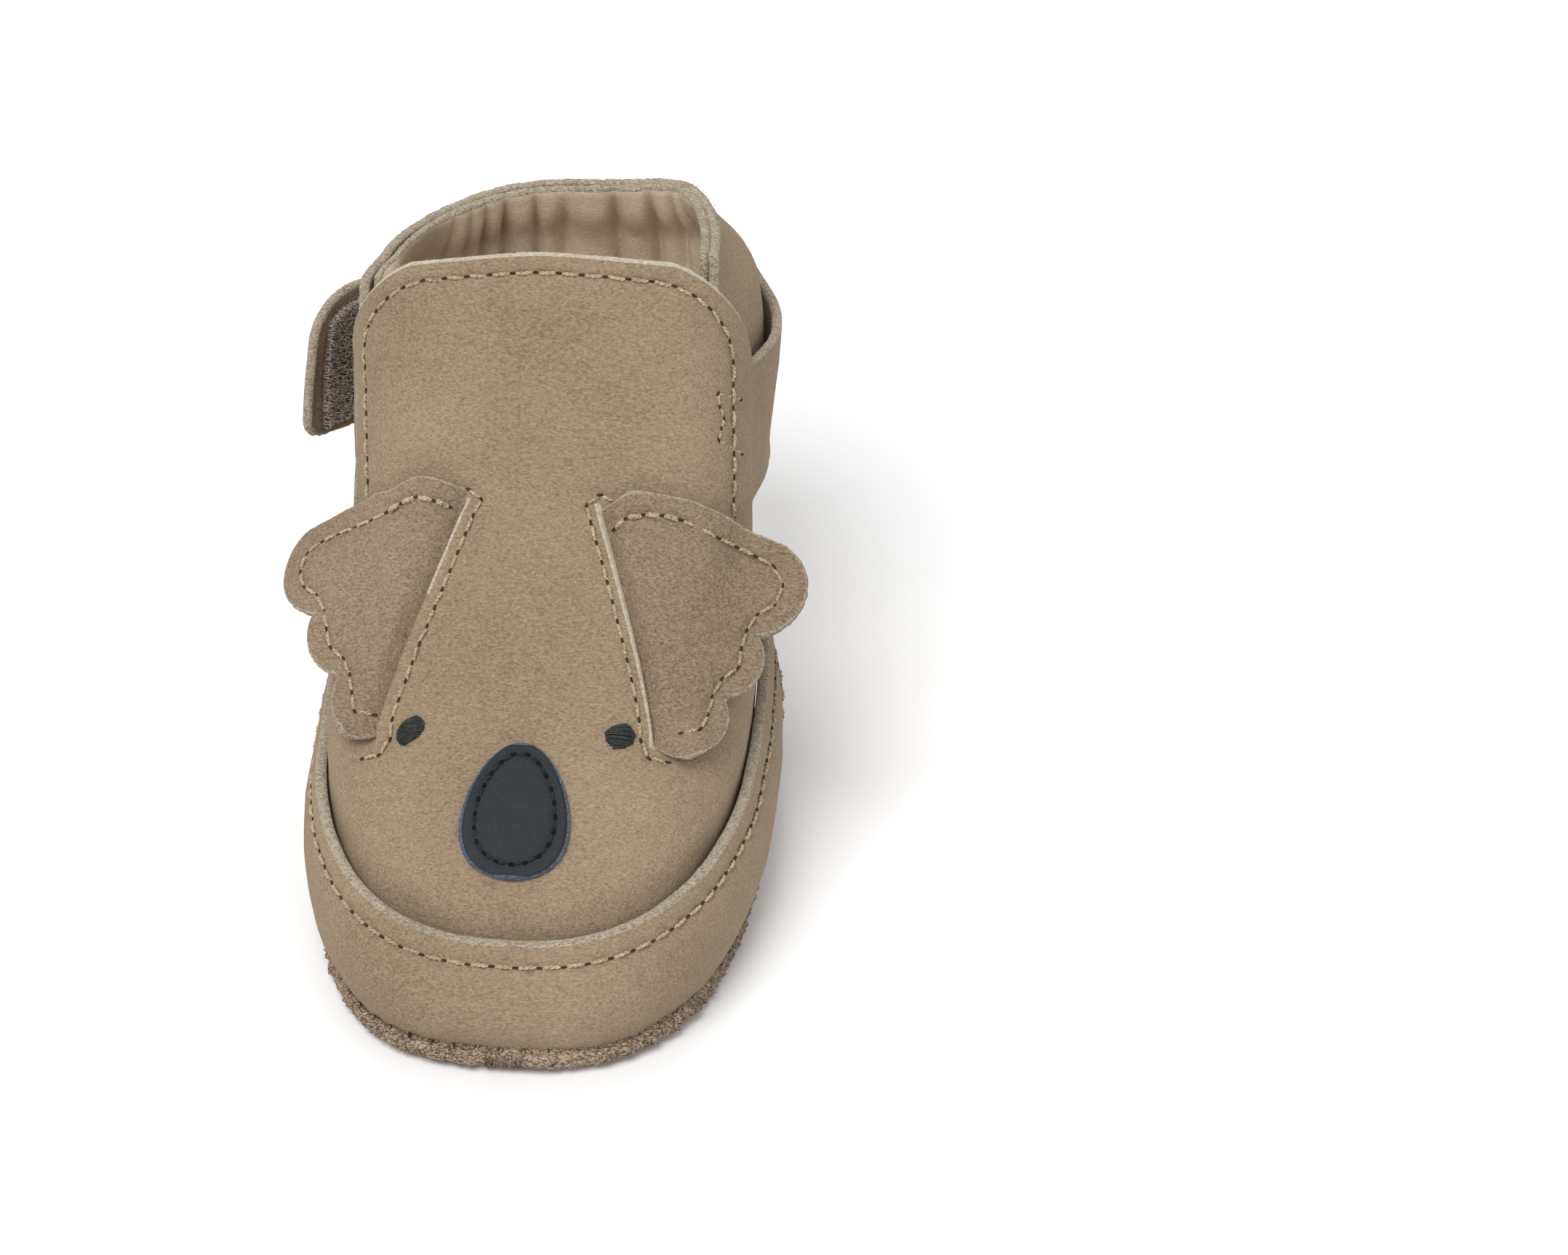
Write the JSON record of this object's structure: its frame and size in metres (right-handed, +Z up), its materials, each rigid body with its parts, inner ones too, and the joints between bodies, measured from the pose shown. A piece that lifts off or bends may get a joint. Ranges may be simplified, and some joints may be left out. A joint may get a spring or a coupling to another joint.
{
  "type": "soft leather baby bootie",
  "caption": "Soft leather baby bootie with a tall flexing tongue, an elastic heel collar, an ankle strap with a fastening tab and scalloped ears on the vamp.",
  "frame": {"origin": "on the ground under the middle of the sole", "axes": "+Z up, +Y towards the heel, -Y towards the toe, +X towards the inner side of the foot"},
  "size_m": [0.0804, 0.1218, 0.0886],
  "materials": {
    "upper_leather": "matt nubuck, taupe",
    "lining_leather": "smooth matt",
    "suede": "rough suede",
    "dark_leather": "matt, charcoal",
    "foam": "soft foam",
    "elastic": "woven elastic",
    "thread": "twisted sewing thread",
    "dark_thread": "embroidery thread",
    "fastener": "hook-and-loop pile"
  },
  "bodies": {
    "shoe": {"outsole": "suede", "insole_foam": "foam", "insole_sock": "lining_leather", "side_wall": "upper_leather", "vamp": "upper_leather", "vamp_lining": "lining_leather", "heel_quarter": "upper_leather", "heel_lining": "lining_leather", "heel_elastic": "elastic", "wall_stitching": "thread", "sole_stitching": "thread", "side_seam_stitching": "thread", "nose_patch": "dark_leather", "nose_stitching": "dark_thread", "outer_eye": "dark_thread", "inner_eye": "dark_thread", "slit_stitching": "thread", "ankle_strap": "upper_leather", "strap_heel_stitching": "thread", "hook_patch": "fastener"},
    "tongue": {"tongue": "upper_leather", "tongue_lining": "lining_leather", "tongue_stitching": "thread", "strap_end": "upper_leather"},
    "outer_ear": {"outer_ear_front": "upper_leather", "outer_ear_back": "lining_leather", "outer_ear_stitching": "thread"},
    "inner_ear": {"inner_ear_front": "upper_leather", "inner_ear_back": "lining_leather", "inner_ear_stitching": "thread"},
    "strap_tab": {"strap_tab": "upper_leather", "loop_patch": "fastener", "tab_stitching": "thread"}
  },
  "joints": [
    {"name": "tongue_flex", "type": "hinge", "parent": "shoe", "child": "tongue", "pos_m": [-0.0006, -0.001, 0.058], "axis": [1, 0, 0], "range_deg": [0, 20], "stiffness_Nm_per_rad": 0.05},
    {"name": "outer_ear_lift", "type": "hinge", "parent": "shoe", "child": "outer_ear", "pos_m": [-0.0219, -0.0288, 0.0352], "axis": [0.2384, 0.6663, 0.7065], "range_deg": [0, 75], "stiffness_Nm_per_rad": 0.004},
    {"name": "inner_ear_lift", "type": "hinge", "parent": "shoe", "child": "inner_ear", "pos_m": [0.0183, -0.0284, 0.0364], "axis": [0.3126, -0.6703, -0.6731], "range_deg": [0, 70], "stiffness_Nm_per_rad": 0.004},
    {"name": "strap_tab_swing", "type": "hinge", "parent": "shoe", "child": "strap_tab", "pos_m": [-0.03186, 0.03844, 0.0502], "axis": [-0.1203, -0.1058, -0.9871], "range_deg": [-16, 50], "stiffness_Nm_per_rad": 0.004}
  ]
}
